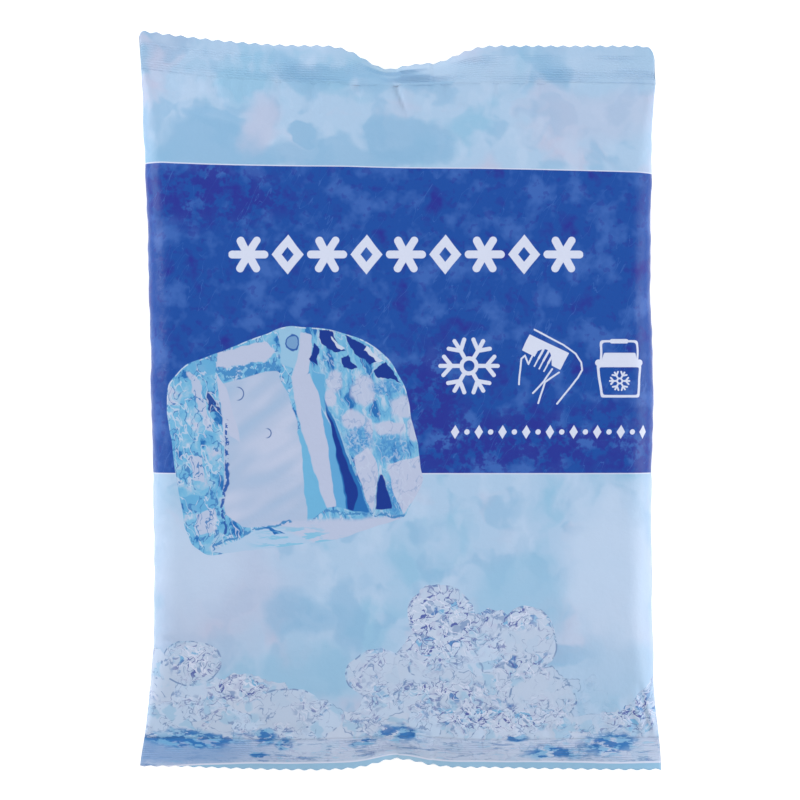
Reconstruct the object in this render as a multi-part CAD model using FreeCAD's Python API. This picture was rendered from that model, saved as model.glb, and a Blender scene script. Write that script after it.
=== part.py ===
import FreeCAD, Part
import math
import os

Vector = FreeCAD.Vector

# Gel ice pack: one tube of printed film, filled with gel and crimped shut at both ends.
# It lies on its back, print upwards. X runs across it, Y from the bottom seal to the top seal.
# Z is the height above the table. All sizes are in millimetres.

# The film tube
film_width = 170.0            # width of the empty tube laid flat, and so of the crimped ends
pack_length = 241.0           # between the two cut edges, where they reach furthest
film_thickness = 0.2          # one wall

# The filled body
fill_height = 18.5            # the thickest place, with the pack lying on the table
fill_centre = -58.0           # Y of that place: the gel has slumped towards the bottom seal
slump = 0.36                  # share of the height that is missing at the top seal
left_draw = 5.9               # how far the filling draws the left side in
right_draw = 4.2              # the same for the right side
front_rise = 46.0             # distance from a seal at which the front has its full height
back_fall = 17.0              # distance from a seal at which the back lies on the table
crown = 0.1                   # share of the height that the front loses towards the sides
rest_sink = 0.7               # how far the slack back would hang below the table, were it not there

# The crimped ends
top_seal_height = 13.4
bottom_seal_height = 12.6
top_seal_lift = 9.5           # height of the top seal's inner line above the table, in its middle
bottom_seal_lift = 9.0
corner_lift = 1.1             # the same at the four corners
edge_lift = 2.0               # the drooping cut edges stay this far above the table
tooth_pitch = 4.0             # zigzag of the knife
tooth_depth = 0.9
ridge_pitch = 1.05            # crimp ridges, along the seal
ridge_depth = 0.14            # up and down from the middle of the seal
plain_edge = 3.7              # the strip next to the teeth that has no ridges
corner_round = 4.0            # the curled corner at the top right
corner_width = 2.0            # at the seals, the bend of a side is this wide and flat

# How the filling pulls the ends in, seen from above
top_lead = 5.2                # the top left corner stands this far ahead of the rest of the edge
top_dip = 7.0                 # notch of the cut edge beside the back seam
fin_dip = 5.0                 # the shallower notch over the back seam's free part
line_dip = 1.3                # how far the seals' inner lines follow
dip_width = 10.0              # half width of a notch
top_plan = 12.1               # width of the top seal as seen from above, away from the notch
bottom_plan = 9.8             # the same at the bottom
bottom_dip = 3.2

# The back seam: two film edges sealed to each other and laid over to one side
fin_root = -0.5               # X of the line where the seam leaves the back
fin_width = 10.7
fin_thickness = 0.35
fin_margin = 9.0              # beside it, the film is held off the table over this width

# The fold that runs from the notch into the body
crease_depth = 1.3
crease_reach = 15.0

half_length = pack_length / 2
half_film = film_width / 2
fin_edge = fin_root + fin_width
BEND_STRIPS = 6               # flat strips from the outermost line of a side to the front, and to the back
MIDDLE_COLUMNS = 15           # pole columns between the sides
FOLLOW = 0.22                 # share of the body over which rows take up the curve of a seal's line
overrun = 3.0                 # the shape is drawn this far past the cut edges before it is cut

# Share of the draw-in along each side: (share of the length from the bottom, share of the draw)
LEFT_SIDE = [(0, 0.05), (0.05, 0.37), (0.1, 0.62), (0.16, 0.9), (0.22, 0.96), (0.28, 1), (0.36, 0.95),
             (0.6, 0.73), (0.77, 0.5), (0.97, 0.11), (1, 0)]
RIGHT_SIDE = [(0, 0), (0.04, 0.15), (0.07, 0.38), (0.12, 0.7), (0.18, 0.78), (0.24, 0.93), (0.39, 0.93),
              (0.5, 0.78), (0.58, 0.86), (0.69, 1), (0.8, 0.86), (0.86, 0.77), (0.9, 0.62), (0.94, 0.39),
              (0.96, 0.5), (1, 0.55)]
# Bands of the body from seal to seal, as shares of the way: narrow where the film bends most
BANDS = [0, 0.035, 0.09, 0.17, 0.3, 0.5, 0.7, 0.83, 0.91, 0.965, 1]


def smooth(value):
    """0 below 0, 1 above 1, and an even S between them."""
    value = min(1.0, max(0.0, value))
    return value * value * (3 - 2 * value)


def bell(x, middle, width):
    """1 in the middle, falling to 0 on both sides."""
    return math.exp(-((x - middle) / width) ** 2)


def along(track, share):
    """Value at a share of the way, read from a track of (share, value) places."""
    share = min(1.0, max(0.0, share))
    for (s0, v0), (s1, v1) in zip(track, track[1:]):
        if share <= s1:
            return v0 + (v1 - v0) * (share - s0) / (s1 - s0)
    return track[-1][1]


def left_x(y):
    return -half_film + left_draw * along(LEFT_SIDE, (y + half_length) / pack_length)


def right_x(y):
    return half_film - right_draw * along(RIGHT_SIDE, (y + half_length) / pack_length)


def across(x):
    """Share of the half width, 0 in the middle and 1 at the sides."""
    return min(1.0, abs(x) / half_film)


def lead(x):
    """How far the top edge has fallen back from its furthest corner, at the left."""
    return top_lead * (1 - (1 - min(1.0, (x + half_film) / (0.64 * half_film))) ** 1.6)


def top_cut(x):
    """Y of the top cut edge, through the middle of its teeth."""
    notch = top_dip * bell(x, fin_root - 0.4 * dip_width, dip_width)
    notch = notch + fin_dip * bell(x, fin_edge + 0.1 * dip_width, dip_width)
    return half_length - tooth_depth / 2 - lead(x) - notch


def top_line(x):
    """Y of the top seal's inner line."""
    fall = line_dip * bell(x, fin_root, 2 * dip_width)
    return half_length - tooth_depth / 2 - lead(x) - top_plan - fall


def bottom_cut(x):
    rise = 1.2 * bell(x, -0.9 * half_film, 0.3 * half_film) + 0.9 * bell(x, 0.25 * half_film, 0.4 * half_film)
    return -half_length + tooth_depth / 2 + rise + bottom_dip * bell(x, fin_root, dip_width)


def bottom_line(x):
    return -half_length + tooth_depth / 2 + bottom_plan + 0.6 + line_dip * bell(x, fin_root, 2 * dip_width)


def seal_lift(x, end):
    """Height of a seal's inner line: an arch that stands on its corners."""
    lift = top_seal_lift if end > 0 else bottom_seal_lift
    return corner_lift + (lift - corner_lift) * (1 - across(x) ** 2.2) ** 1.1


def seal_place(x, end, share):
    """Middle of the seal at a share of the way from its inner line to its cut edge, and its normal."""
    line = top_line(x) if end > 0 else bottom_line(x)
    cut = top_cut(x) if end > 0 else bottom_cut(x)
    height = top_seal_height if end > 0 else bottom_seal_height
    plan = max(1.0, end * (cut - line))
    lift = seal_lift(x, end)
    droop = min(math.sqrt(max(0.0, height ** 2 - plan ** 2)), max(0.0, lift - edge_lift))
    slope = math.atan2(droop, plan)
    normal = Vector(0, end * math.sin(slope), math.cos(slope))
    return Vector(x, line + end * plan * share, lift - droop * share), normal


def body_height(y):
    """Height of the front in the middle of the body."""
    run = max(0.0, (y - fill_centre) / (half_length - fill_centre))
    return fill_height * (1 - slump * run ** 1.2)


def filled(distance, reach):
    """0 at a seal's inner line, 1 from the given distance on, rising fastest at first."""
    return 1 - (1 - min(1.0, max(0.0, distance / reach))) ** 2.3


def front_height(x, y, distance, end):
    """Height of the front film."""
    base = seal_lift(x, end) + film_thickness
    share = filled(distance, front_rise * (1 + 0.5 * across(x) ** 3))
    full = body_height(y) * (1 - crown * across(x) ** 3)
    crease = 0.0
    if end > 0:
        fade = bell(distance, 0, crease_reach) * smooth(distance / 4)
        crease = crease_depth * bell(x, fin_root + 0.3 * dip_width, 0.7 * dip_width) * fade
    return base + (full - base) * share - crease


def back_height(x, distance, end):
    """Height of the back film. It would hang below the table, where it is cut flat."""
    base = seal_lift(x, end) - film_thickness
    share = filled(distance, back_fall * (1 + 0.5 * across(x) ** 3))
    beside = max(fin_root - x, x - fin_edge, 0.0)
    rest = 0.8 * fin_thickness if beside < fin_margin else -rest_sink
    return base + (rest - base) * share


def row_of_x(left, right, bend):
    """X of all poles of one row: the two bends at the sides, and even steps between them."""
    turn = [bend * (1 - math.cos(k * math.pi / 2 / BEND_STRIPS)) for k in range(BEND_STRIPS + 1)]
    inner = half_film - 1.35 * fill_height
    middle = [-inner + 2 * inner * k / (MIDDLE_COLUMNS - 1) for k in range(MIDDLE_COLUMNS)]
    before = [(left + bend - inner) / 2]
    after = [(right - bend + inner) / 2]
    return [left + t for t in turn] + before + middle + after + [right - t for t in reversed(turn)]


def body_row(share, front):
    """Poles of one face across the body. Rows near a seal follow its line, and the others are straight."""
    low_y, high_y = bottom_line(half_film), top_line(half_film)

    def place(x):
        low, high = bottom_line(x), top_line(x)
        y = low_y + share * (high_y - low_y)
        y = y + (low - low_y) * max(0.0, 1 - share / FOLLOW) ** 2
        y = y + (high - high_y) * max(0.0, 1 - (1 - share) / FOLLOW) ** 2
        end = 1 if share > 0.5 else -1
        return y, min(y - low, high - y), end

    def height(x):
        y, distance, end = place(x)
        return front_height(x, y, distance, end) if front else back_height(x, distance, end)

    left, right = left_x(place(-half_film)[0]), right_x(place(half_film)[0])
    y, distance, end = place(right)
    thickness = front_height(right, y, distance, end) - back_height(right, distance, end)
    bend = corner_width + 0.45 * thickness
    xs = row_of_x(left, right, bend)
    poles = []
    for k, x in enumerate(xs):
        from_side = min(k, len(xs) - 1 - k)
        y, distance, end = place(x)
        if from_side < BEND_STRIPS:
            side = left if k < BEND_STRIPS else right
            shoulder = left + bend if k < BEND_STRIPS else right - bend
            y, distance, end = place(side)
            top = front_height(shoulder, y, distance, end)
            low = back_height(shoulder, distance, end)
            middle = low + 0.46 * (top - low)
            turned = math.sin(from_side * math.pi / 2 / BEND_STRIPS)
            z = middle + ((top if front else low) - middle) * turned
        else:
            z = height(x)
        poles.append(Vector(x, y, z))
    return poles


def seal_row(end, along_seal, offset, side, flat_y=None):
    """Poles across a seal, at a distance from its inner line. The side is 1 in front and -1 at the back."""
    height = top_seal_height if end > 0 else bottom_seal_height
    xs = row_of_x(left_x(end * half_length), right_x(end * half_length), corner_width)
    last = len(xs) - 1
    poles = []
    for k, x in enumerate(xs):
        from_side = min(k, last - k)
        middle, normal = seal_place(x, end, along_seal / height)
        point = middle + normal * (offset + side * film_thickness * (1 if from_side else 0))
        if flat_y is not None:
            point = Vector(x, flat_y, middle.z + offset + side * film_thickness * (1 if from_side else 0))
        poles.append(point)
    for outer, inner in ((0, BEND_STRIPS), (last, last - BEND_STRIPS)):
        step = 1 if inner > outer else -1
        for k in range(outer + step, inner, step):
            share = (xs[k] - xs[outer]) / (xs[inner] - xs[outer])
            poles[k] = poles[outer] + (poles[inner] - poles[outer]) * share
    return poles


def knots(places, degree):
    """Knots of a clamped curve whose poles are met at these places."""
    inner = [sum(places[k:k + degree]) / degree for k in range(1, len(places) - degree)]
    return [places[0]] + inner + [places[-1]]


def places_of(poles):
    """Distance along a row of poles."""
    places = [0.0]
    for one, other in zip(poles, poles[1:]):
        places.append(places[-1] + one.distanceToPoint(other))
    return places


def surface_over(rows, u_knots, u_degree, v_knots, v_degree):
    """Surface over rows of poles."""
    net = [[row[k] for row in rows] for k in range(len(rows[0]))]
    u_mults = [u_degree + 1] + [1] * (len(u_knots) - 2) + [u_degree + 1]
    v_mults = [v_degree + 1] + [1] * (len(v_knots) - 2) + [v_degree + 1]
    surface = Part.BSplineSurface()
    surface.buildFromPolesMultsKnots(net, u_mults, v_mults, u_knots, v_knots, False, False, u_degree, v_degree)
    return surface


def patches(rows, u_knots, v_knots, v_degree, bend_strips):
    """Surfaces side by side across the rows: flat strips round each bend and a smooth middle."""
    last = len(rows[0]) - 1
    steps = range(0, BEND_STRIPS + 1, 1 if bend_strips else BEND_STRIPS)
    pairs = list(zip(steps, steps[1:]))
    pairs = pairs + [(last - inner, last - outer) for outer, inner in pairs]
    sides = [surface_over([[row[a], row[b]] for row in rows], [0, 1], 1, v_knots, v_degree) for a, b in pairs]
    middle_rows = [row[BEND_STRIPS:last + 1 - BEND_STRIPS] for row in rows]
    return sides, surface_over(middle_rows, u_knots, 3, v_knots, v_degree)


def seal_rows(end):
    """Rows of a seal from its inner line outwards: (distance, offset) of each ridge and valley."""
    height = top_seal_height if end > 0 else bottom_seal_height
    count = max(2, int((height - plain_edge) / ridge_pitch))
    start = height - plain_edge - count * ridge_pitch
    rows = [(0.0, 0.0), (max(0.2, start), -ridge_depth)]
    for k in range(1, 2 * count + 1):
        rows.append((rows[1][0] + k * ridge_pitch / 2, ridge_depth if k % 2 else -ridge_depth))
    return rows


def face_patches(side, lowered=0.0):
    """Patches of one face, from below the bottom cut to above the top cut, in bands that lie end to end."""
    u_knots = knots(places_of(body_row(0.4, side > 0)[BEND_STRIPS:-BEND_STRIPS]), 3)
    v_bands = [0, 0, 0] + BANDS + [1, 1, 1]
    shares = [sum(v_bands[k:k + 3]) / 3 for k in range(2, len(v_bands) - 4)]
    bands = []
    inner = {}
    for end in (-1, 1):
        height = top_seal_height if end > 0 else bottom_seal_height
        rows = [seal_row(end, distance, offset - lowered, side) for distance, offset in seal_rows(end)]
        rows.append(seal_row(end, height + overrun, -lowered, side))
        rows.append(seal_row(end, height + overrun, -lowered, side, end * (half_length + 2 * overrun)))
        inner[end] = rows[0]
        bands = bands + [patches(pair, u_knots, [0, 1], 1, False) for pair in zip(rows, rows[1:])]
    body = [[pole - Vector(0, 0, lowered) for pole in body_row(share, side > 0)] for share in shares]
    body = [inner[-1]] + body + [inner[1]]
    v_knots = [share * pack_length for share in BANDS]
    return bands + [patches(body, u_knots, v_knots, 3, True)]


def u_at(surface, x):
    """Parameter of the line along a surface that keeps to this X."""
    low, high, start, stop = surface.bounds()
    for _ in range(50):
        middle = (low + high) / 2
        if surface.value(middle, (start + stop) / 2).x < x:
            low = middle
        else:
            high = middle
    return (low + high) / 2


def part_of(surface, u0, u1):
    piece = surface.copy()
    piece.segment(u0, u1, surface.bounds()[2], surface.bounds()[3])
    return piece


def pack_shell():
    """All faces of the uncut pack."""
    fronts, backs, fins = face_patches(1), face_patches(-1), face_patches(-1, fin_thickness)
    surfaces = []
    walls = {fin_root: [], fin_edge: []}
    for sides, middle in fronts:
        surfaces = surfaces + sides + [middle]
    for (sides, middle), (_, fin) in zip(backs, fins):
        start, stop = middle.bounds()[:2]
        root, edge = u_at(middle, fin_root), u_at(middle, fin_edge)
        surfaces = surfaces + sides + [part_of(middle, start, root), part_of(middle, edge, stop)]
        surfaces.append(part_of(fin, root, edge))
        for x, u in ((fin_root, root), (fin_edge, edge)):
            walls[x] = walls[x] + [middle.uIso(u).toShape(), fin.uIso(u).toShape()]
    faces = [surface.toShape() for surface in surfaces]
    far = half_length + 2 * overrun
    for end in (-1, 1):
        rim = [edge for face in faces for edge in face.Edges
               if all(abs(vertex.Y - end * far) < 1e-6 for vertex in edge.Vertexes)]
        for x in walls:
            ends = [v.Point for edge in walls[x] for v in edge.Vertexes if abs(v.Y - end * far) < 1e-6]
            line = Part.makeLine(ends[0], ends[1])
            walls[x].append(line)
            rim.append(line)
        faces.append(Part.Face(Part.Wire(Part.__sortEdges__(rim))))
    for x in walls:
        faces.append(Part.Face(Part.Wire(Part.__sortEdges__(walls[x]))))
    return faces


def knife():
    """Everything above the table and between the two zigzag cuts."""
    reach = half_film + 12
    count = int(round(2 * reach / tooth_pitch))
    points = []
    for k in range(2 * count + 1):
        x = -reach + k * tooth_pitch / 2
        points.append(Vector(x, bottom_cut(x) + (tooth_depth / 2 if k % 2 else -tooth_depth / 2), 0))
    for k in range(2 * count, -1, -1):
        x = -reach + k * tooth_pitch / 2
        corner = max(0.0, x - (right_x(half_length) - corner_round)) / corner_round
        curl = corner_round * (1 - math.sqrt(max(0.0, 1 - min(1.0, corner) ** 2)))
        points.append(Vector(x, top_cut(x) - curl + (-tooth_depth / 2 if k % 2 else tooth_depth / 2), 0))
    return Part.Face(Part.makePolygon(points + [points[0]])).extrude(Vector(0, 0, 3 * fill_height))


shell = Part.Shell(pack_shell())
uncut = Part.Solid(shell)
if uncut.Volume < 0:
    uncut.reverse()
pack = uncut.common(knife())
gel_pack = max(pack.Solids, key=lambda solid: solid.Volume)

corners = gel_pack.tessellate(0.05)[0]
middle_x = (min(p.x for p in corners) + max(p.x for p in corners)) / 2
middle_y = (min(p.y for p in corners) + max(p.y for p in corners)) / 2
gel_pack.translate(Vector(-middle_x, -middle_y, 0))

os.makedirs("parts", exist_ok=True)
gel_pack.exportStep("parts/gel_pack.step")
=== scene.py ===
import bpy
import numpy as np
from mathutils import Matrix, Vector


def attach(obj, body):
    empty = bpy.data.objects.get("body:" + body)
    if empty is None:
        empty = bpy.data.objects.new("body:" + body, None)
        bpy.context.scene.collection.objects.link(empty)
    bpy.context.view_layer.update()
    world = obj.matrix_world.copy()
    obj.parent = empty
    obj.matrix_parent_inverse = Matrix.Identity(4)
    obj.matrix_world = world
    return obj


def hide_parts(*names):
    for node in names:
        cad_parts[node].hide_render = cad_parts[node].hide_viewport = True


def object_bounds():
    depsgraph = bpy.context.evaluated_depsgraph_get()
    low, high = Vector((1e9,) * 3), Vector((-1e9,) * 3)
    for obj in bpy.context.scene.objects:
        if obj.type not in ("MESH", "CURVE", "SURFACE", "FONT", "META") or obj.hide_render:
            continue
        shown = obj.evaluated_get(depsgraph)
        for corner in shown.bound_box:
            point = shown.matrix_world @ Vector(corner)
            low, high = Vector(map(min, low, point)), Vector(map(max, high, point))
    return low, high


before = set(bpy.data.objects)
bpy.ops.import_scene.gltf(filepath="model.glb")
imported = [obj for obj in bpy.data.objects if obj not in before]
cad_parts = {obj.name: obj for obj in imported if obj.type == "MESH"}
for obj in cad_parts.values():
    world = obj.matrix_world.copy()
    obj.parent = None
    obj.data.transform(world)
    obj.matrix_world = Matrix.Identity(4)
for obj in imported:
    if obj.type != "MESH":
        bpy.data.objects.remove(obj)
cad_low, cad_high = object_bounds()

# The view, the table and the light
# The pack lies on a white table and is seen from straight above. Broad white light comes in low
# from all round, with less from overhead, so that the glossy film stays deep in its middle.
lens = 120.0
sensor = 36.0
view_width = 0.260            # of the table, from side to side of the picture
edge_height = 0.0012          # height of the corners that the outline is measured at
table_size = 8.0
table_gap = 0.0002            # between the table top and the film
paper_shade = 0.86
paper_glow = 0.6              # what brings the table up to white where it is looked at
overhead = 0.45               # strength of the light from straight above
horizon = 1.0                 # strength of the light from low down
lamps = (("left_lamp", (-1.1, 0.5, 0.45), 0.9, 10.5), ("right_lamp", (1.15, -0.1, 0.4), 1.0, 10.0))

bpy.context.scene.view_settings.view_transform = "Standard"


def new_material(name):
    """A material with no nodes yet, and its node tree."""
    material = bpy.data.materials.new(name)
    material.use_nodes = True
    material.node_tree.nodes.clear()
    return material, material.node_tree


def looked_at(tree):
    """1 for rays from the camera, also by way of gloss or glass, and 0 for light that falls on things."""
    rays = tree.nodes.new("ShaderNodeLightPath")
    total = rays.outputs["Is Camera Ray"]
    for name in ("Is Glossy Ray", "Is Transmission Ray"):
        larger = tree.nodes.new("ShaderNodeMath")
        larger.operation = "MAXIMUM"
        tree.links.new(total, larger.inputs[0])
        tree.links.new(rays.outputs[name], larger.inputs[1])
        total = larger.outputs[0]
    return total


camera_data = bpy.data.cameras.new("camera")
camera_data.lens = lens
camera_data.sensor_width = sensor
camera_data.clip_end = 50.0
camera = bpy.data.objects.new("camera", camera_data)
camera.location = (0.0, 0.0, edge_height + view_width * lens / sensor)
bpy.context.scene.collection.objects.link(camera)
bpy.context.scene.camera = camera

table_mesh = bpy.data.meshes.new("table")
far = table_size / 2
table_corners = ((-far, -far), (far, -far), (far, far), (-far, far))
table_mesh.from_pydata([(x, y, -table_gap) for x, y in table_corners], [], [(0, 1, 2, 3)])
table = bpy.data.objects.new("table", table_mesh)
bpy.context.scene.collection.objects.link(table)

table_paper, tree = new_material("table_paper")
paper = tree.nodes.new("ShaderNodeBsdfDiffuse")
paper.inputs["Color"].default_value = (paper_shade, paper_shade, paper_shade, 1.0)
glow = tree.nodes.new("ShaderNodeEmission")
glow.inputs["Color"].default_value = (1.0, 1.0, 1.0, 1.0)
seen = tree.nodes.new("ShaderNodeMath")
seen.operation = "MULTIPLY"
seen.inputs[1].default_value = paper_glow
tree.links.new(looked_at(tree), seen.inputs[0])
tree.links.new(seen.outputs[0], glow.inputs["Strength"])
both = tree.nodes.new("ShaderNodeAddShader")
tree.links.new(paper.outputs[0], both.inputs[0])
tree.links.new(glow.outputs[0], both.inputs[1])
output = tree.nodes.new("ShaderNodeOutputMaterial")
tree.links.new(both.outputs[0], output.inputs["Surface"])
table_mesh.materials.append(table_paper)

world = bpy.data.worlds.new("studio")
bpy.context.scene.world = world
world.use_nodes = True
tree = world.node_tree
tree.nodes.clear()
direction = tree.nodes.new("ShaderNodeTexCoord")
parts = tree.nodes.new("ShaderNodeSeparateXYZ")
tree.links.new(direction.outputs["Generated"], parts.inputs[0])
fall = tree.nodes.new("ShaderNodeMapRange")
fall.inputs["From Min"].default_value = 0.0
fall.inputs["From Max"].default_value = 1.0
fall.inputs["To Min"].default_value = horizon
fall.inputs["To Max"].default_value = overhead
tree.links.new(parts.outputs["Z"], fall.inputs["Value"])
choose = tree.nodes.new("ShaderNodeMix")
tree.links.new(looked_at(tree), choose.inputs["Factor"])
tree.links.new(fall.outputs["Result"], choose.inputs["A"])
choose.inputs["B"].default_value = 1.0
sky = tree.nodes.new("ShaderNodeBackground")
sky.inputs["Color"].default_value = (1.0, 1.0, 1.0, 1.0)
tree.links.new(choose.outputs["Result"], sky.inputs["Strength"])
output = tree.nodes.new("ShaderNodeOutputWorld")
tree.links.new(sky.outputs[0], output.inputs["Surface"])

for name, place, width, power in lamps:
    lamp_data = bpy.data.lights.new(name, "AREA")
    lamp_data.shape = "SQUARE"
    lamp_data.size = width
    lamp_data.energy = power
    lamp = bpy.data.objects.new(name, lamp_data)
    lamp.location = place
    lamp.rotation_euler = (np.arctan2(np.hypot(place[0], place[1]), place[2]), 0.0,
                           np.arctan2(place[0], -place[1]))
    bpy.context.scene.collection.objects.link(lamp)

# The filled pouch
# A tube of printed film, drawn in at the sides and bulging over the gel. It lies flat on its back.
# Millimetres are used for all shapes, and only the finished mesh is turned into metres.
METRE = 0.001
film_width = (cad_high.x - cad_low.x) / METRE
pack_length = (cad_high.y - cad_low.y) / METRE
half_film = film_width / 2
half_length = pack_length / 2
film_thickness = 0.2
fill_height = 18.5            # height of the front where the pack is fullest
fill_centre = -58.0           # Y of that place
slump = 0.36                  # share of that height lost on the way to the top end
left_draw = 5.9               # how far the filling draws each side in
right_draw = 4.2
front_rise = 46.0             # distance over which the front rises from a seal to its full height
back_fall = 17.0              # distance over which the back comes down from a seal to the table
crown = 0.1                   # share of the height lost on the way to a side
corner_width = 2.0            # least width of the round along a side
side_line = 0.46              # height of the outermost line of a side, as a share of the thickness there

top_seal_height = 13.4        # film from each inner line to the teeth
bottom_seal_height = 12.6
top_seal_lift = 9.5           # height of each inner line in the middle
bottom_seal_lift = 9.0
corner_lift = 1.1             # and at its ends
edge_lift = 2.0               # least height that a cut edge droops to in the middle
tooth_pitch = 4.0
tooth_depth = 0.9
top_lead = 5.2                # how far the top edge falls back from its left corner
top_dip = 7.0                 # depth of its notch at both edges of the back seam
fin_dip = 5.0
line_dip = 1.3                # how far an inner line gives way at the back seam
dip_width = 10.0
top_plan = 12.1               # length of each seal as seen from above
bottom_plan = 9.8
bottom_dip = 3.2              # depth of the bottom edge's notch at the back seam
corner_round = 4.0            # radius of the top edge's right corner, and of its left one
left_round = 1.8
fin_root = -0.5               # X of the line that the back seam's flap is laid over from
fin_width = 10.7
fin_thickness = 0.35
fin_margin = 9.0              # distance beside the flap over which the back comes down to the table
fin_edge = fin_root + fin_width
follow = 0.22                 # share of the rows that follow each seal's line

# How far a side is drawn in along the pack: share of its length from the bottom, and share of the draw.
LEFT_SIDE = [(0, 0.05), (0.05, 0.37), (0.1, 0.62), (0.16, 0.9), (0.22, 0.96), (0.28, 1), (0.36, 0.95),
             (0.6, 0.73), (0.77, 0.5), (0.97, 0.11), (1, 0)]
RIGHT_SIDE = [(0, 0), (0.04, 0.15), (0.07, 0.38), (0.12, 0.7), (0.18, 0.78), (0.24, 0.93), (0.39, 0.93),
              (0.5, 0.78), (0.58, 0.86), (0.69, 1), (0.8, 0.86), (0.86, 0.77), (0.9, 0.62), (0.94, 0.39),
              (0.96, 0.5), (1, 0.55)]
SOFTEN = np.linspace(-5.0, 5.0, 9)# steps along the pack that a side's line is averaged over

pucker_depth = 0.6
PUCKER_SEEDS = {1: 3, -1: 8}  # for the top end and the bottom end
# Creases that stand out on the front: from, to, width and depth.
FOLDS = [((-2.5, 103.0), (2.0, 91.0), 1.2, 1.4), ((2.0, 102.0), (8.0, 88.0), 2.0, -0.8),
         ((15.0, 98.0), (24.0, 91.0), 1.6, 0.8), ((29.0, 99.0), (55.0, 88.0), 1.8, 0.7),
         ((9.0, 88.0), (23.0, 80.0), 1.6, 0.7), ((-81.0, 105.0), (-70.0, 99.0), 1.6, 0.5),
         ((-78.0, 98.0), (-52.0, 92.0), 2.2, 0.6), ((80.0, 100.0), (62.0, 90.0), 2.0, 0.7),
         ((-79.0, -74.0), (-71.0, -79.0), 1.2, 1.3), ((-80.0, -99.0), (-73.0, -108.0), 1.4, 1.2),
         ((-4.0, -103.0), (6.0, -108.5), 1.2, 1.1), ((-10.0, -107.0), (-3.0, -103.5), 1.2, 0.8),
         ((77.0, -92.0), (80.5, -108.0), 1.3, 1.3), ((73.0, -98.0), (77.5, -109.0), 1.4, 0.9),
         ((30.0, -104.0), (62.0, -108.0), 1.6, 0.6), ((-50.0, -104.0), (-22.0, -108.0), 1.6, 0.6)]

ROWS = 240                    # of the pouch, from seal to seal
BEND_COLUMNS = 15             # round a quarter of a side
MIDDLE_COLUMNS = 168


def even_s(value):
    """0 below 0, 1 above 1, and an even S between them."""
    value = np.clip(value, 0.0, 1.0)
    return value**2 * (3.0 - 2.0 * value)


def bell(x, middle, width):
    """1 in the middle, falling to 0 on both sides."""
    return np.exp(-(((x - middle) / width) ** 2))


def waves(x, y, size, seed, count=14):
    """Even bumps about as wide as the size: a sum of sine waves, each with a seeded pitch and direction."""
    random = np.random.default_rng(seed)
    turn = random.uniform(0, 2 * np.pi, count)
    pitch = size * random.uniform(1.3, 2.8, count)
    start = random.uniform(0, 2 * np.pi, count)
    total = 0.0
    for a, p, s in zip(turn, pitch, start):
        total = total + np.sin(2 * np.pi * (x * np.cos(a) + y * np.sin(a)) / p + s)
    return total / np.sqrt(2.0 * count)


def along(track, y):
    """Value of a side's line at this place along the pack, averaged over a few millimetres."""
    shares, values = zip(*track)
    places = [(y + step + half_length) / pack_length for step in SOFTEN]
    return np.mean([np.interp(place, shares, values) for place in places], axis=0)


def left_x(y):
    """X of the left side: half the film's width, less what the filling draws it in by there."""
    return -half_film + left_draw * along(LEFT_SIDE, y)


def right_x(y):
    """X of the right side, worked out as the left one is."""
    return half_film - right_draw * along(RIGHT_SIDE, y)


def across(x):
    """How far out from the pack's middle line: 0 there and 1 at a side."""
    return np.minimum(1.0, np.abs(x) / half_film)


def lead(x):
    """How far the top edge has fallen back from its furthest corner, at the left."""
    return top_lead * (1 - (1 - np.clip((x + half_film) / (0.64 * half_film), 0, 1)) ** 1.6)


def top_cut(x):
    """Y of the top cut edge, through the middle of its teeth."""
    notch = top_dip * bell(x, fin_root - 0.4 * dip_width, dip_width)
    notch = notch + fin_dip * bell(x, fin_edge + 0.1 * dip_width, dip_width)
    return half_length - tooth_depth / 2 - lead(x) - notch


def top_line(x):
    """Y of the top seal's inner line."""
    return half_length - tooth_depth / 2 - lead(x) - top_plan - line_dip * bell(x, fin_root, 2 * dip_width)


def bottom_cut(x):
    """Y of the bottom cut edge: straight, with two soft rises and the notch at the back seam."""
    rise = 1.2 * bell(x, -0.9 * half_film, 0.3 * half_film)
    rise = rise + 0.9 * bell(x, 0.25 * half_film, 0.4 * half_film)
    return -half_length + tooth_depth / 2 + rise + bottom_dip * bell(x, fin_root, dip_width)


def bottom_line(x):
    """Y of the bottom seal's inner line."""
    return -half_length + tooth_depth / 2 + bottom_plan + 0.6 + line_dip * bell(x, fin_root, 2 * dip_width)


def seal_lift(x, end):
    """Height of a seal's inner line: an arch that stands on its corners."""
    lift = np.where(end > 0, top_seal_lift, bottom_seal_lift)
    return corner_lift + (lift - corner_lift) * (1 - across(x) ** 2.2) ** 1.1


def body_height(y):
    """Height of the front in the middle of the body."""
    run = np.maximum(0.0, (y - fill_centre) / (half_length - fill_centre))
    return fill_height * (1 - slump * run**1.2)


def filled(distance, reach):
    """0 at a seal's inner line, 1 from the given distance on, rising fastest at first."""
    return 1 - (1 - np.clip(distance / reach, 0, 1)) ** 2.3


def row_y(share, x):
    """Y of a row. Rows near a seal follow its line, and the others are straight."""
    low_y, high_y = bottom_line(half_film), top_line(half_film)
    y = low_y + share * (high_y - low_y)
    y = y + (bottom_line(x) - low_y) * np.maximum(0.0, 1 - share / follow) ** 2
    return y + (top_line(x) - high_y) * np.maximum(0.0, 1 - (1 - share) / follow) ** 2


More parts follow.
